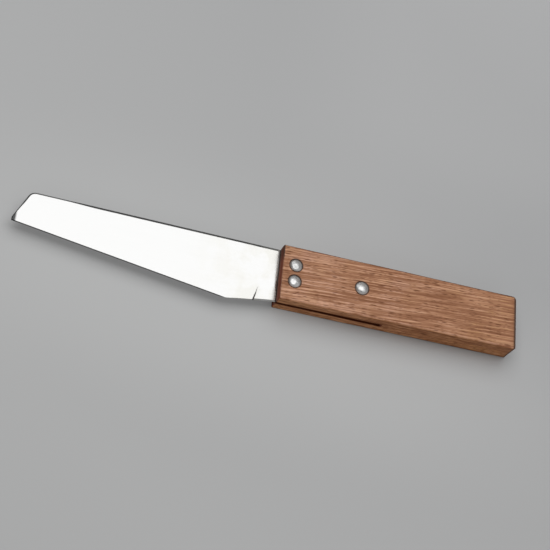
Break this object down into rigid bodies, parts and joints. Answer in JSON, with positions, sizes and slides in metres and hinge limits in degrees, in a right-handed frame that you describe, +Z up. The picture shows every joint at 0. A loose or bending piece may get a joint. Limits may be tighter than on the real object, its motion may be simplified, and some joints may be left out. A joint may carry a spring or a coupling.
{
  "type": "shoemaker knife",
  "caption": "Fixed-blade shoemaker's knife: a broad ground steel blade with a slanted tip, riveted into the sawn slot of a plain hardwood block handle.",
  "frame": {"origin": "centre of the bounding box in plan, on the plane of the handle's reverse face, which the knife lies on", "axes": "+X from the blade's tip towards the handle's butt, +Y towards the blade's spine, +Z up out of the face with the domed rivet heads"},
  "size_m": [0.21, 0.027, 0.0118],
  "materials": {
    "hardwood": "satin",
    "ground_steel": "polished",
    "rivet_metal": "gloss"
  },
  "bodies": {
    "root": {"handle": "hardwood", "blade": "ground_steel", "front_spine_rivet": "rivet_metal", "front_edge_rivet": "rivet_metal", "rear_rivet": "rivet_metal"}
  },
  "joints": []
}
